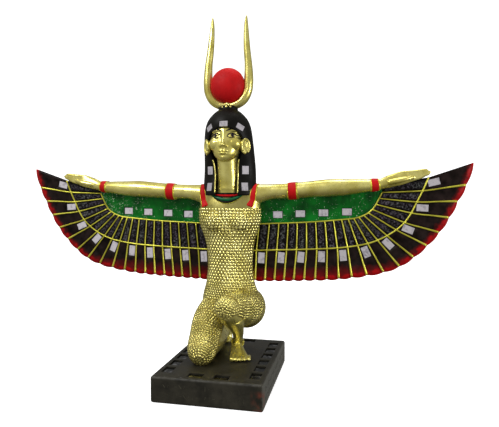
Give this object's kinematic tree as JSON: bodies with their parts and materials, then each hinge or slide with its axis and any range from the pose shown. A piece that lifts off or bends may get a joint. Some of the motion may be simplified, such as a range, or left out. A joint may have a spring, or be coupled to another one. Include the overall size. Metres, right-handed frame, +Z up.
{
  "type": "winged kneeling goddess statuette",
  "caption": "Painted resin statuette of a kneeling winged goddess with a horned sun disc, on a block plinth set with mirror tiles.",
  "frame": {"origin": "middle of the plinth's underside, which the statuette stands on", "axes": "+X along the wings towards the figure's left, -Y the way it faces, +Z up"},
  "size_m": [0.325, 0.092, 0.2516],
  "materials": {
    "gold_paint": "metallic pale gold paint on cast resin, satin",
    "black_paint": "black-brown paint on cast resin, satin",
    "red_paint": "red paint on cast resin, satin",
    "green_paint": "glossy green enamel on cast resin, with fine glitter",
    "plinth_paint": "dark olive-black paint on cast resin, rubbed at the edges",
    "mirror_glass": "small mirror tiles, clear"
  },
  "bodies": {
    "root": {"plinth": "plinth_paint", "plinth_tile_back_left": "mirror_glass", "plinth_tile_back_right": "mirror_glass", "plinth_tile_front_left": "mirror_glass", "plinth_tile_front_right": "mirror_glass", "plinth_tile_left_1": "mirror_glass", "plinth_tile_left_2": "mirror_glass", "plinth_tile_left_3": "mirror_glass", "plinth_tile_left_4": "mirror_glass", "plinth_tile_left_5": "mirror_glass", "plinth_tile_left_6": "mirror_glass", "plinth_tile_right_1": "mirror_glass", "plinth_tile_right_2": "mirror_glass", "plinth_tile_right_3": "mirror_glass", "plinth_tile_right_4": "mirror_glass", "plinth_tile_right_5": "mirror_glass", "plinth_tile_right_6": "mirror_glass", "wig_tile_brow_left": "mirror_glass", "wig_tile_brow_middle": "mirror_glass", "wig_tile_brow_right": "mirror_glass", "wig_tile_lappet_left_lower": "mirror_glass", "wig_tile_lappet_left_upper": "mirror_glass", "wig_tile_lappet_right_lower": "mirror_glass", "wig_tile_lappet_right_upper": "mirror_glass", "wing_tile_left_covert_1": "mirror_glass", "wing_tile_left_covert_2": "mirror_glass", "wing_tile_left_covert_3": "mirror_glass", "wing_tile_left_covert_4": "mirror_glass", "wing_tile_left_feather_01": "mirror_glass", "wing_tile_left_feather_02": "mirror_glass", "wing_tile_left_feather_03": "mirror_glass", "wing_tile_left_feather_04": "mirror_glass", "wing_tile_left_feather_05": "mirror_glass", "wing_tile_left_feather_06": "mirror_glass", "wing_tile_left_feather_07": "mirror_glass", "wing_tile_left_feather_08": "mirror_glass", "wing_tile_left_feather_09": "mirror_glass", "wing_tile_left_feather_10": "mirror_glass", "wing_tile_right_covert_1": "mirror_glass", "wing_tile_right_covert_2": "mirror_glass", "wing_tile_right_covert_3": "mirror_glass", "wing_tile_right_covert_4": "mirror_glass", "wing_tile_right_feather_01": "mirror_glass", "wing_tile_right_feather_02": "mirror_glass", "wing_tile_right_feather_03": "mirror_glass", "wing_tile_right_feather_04": "mirror_glass", "wing_tile_right_feather_05": "mirror_glass", "wing_tile_right_feather_06": "mirror_glass", "wing_tile_right_feather_07": "mirror_glass", "wing_tile_right_feather_08": "mirror_glass", "wing_tile_right_feather_09": "mirror_glass", "wing_tile_right_feather_10": "mirror_glass", "winged_goddess": "gold_paint"}
  },
  "joints": []
}
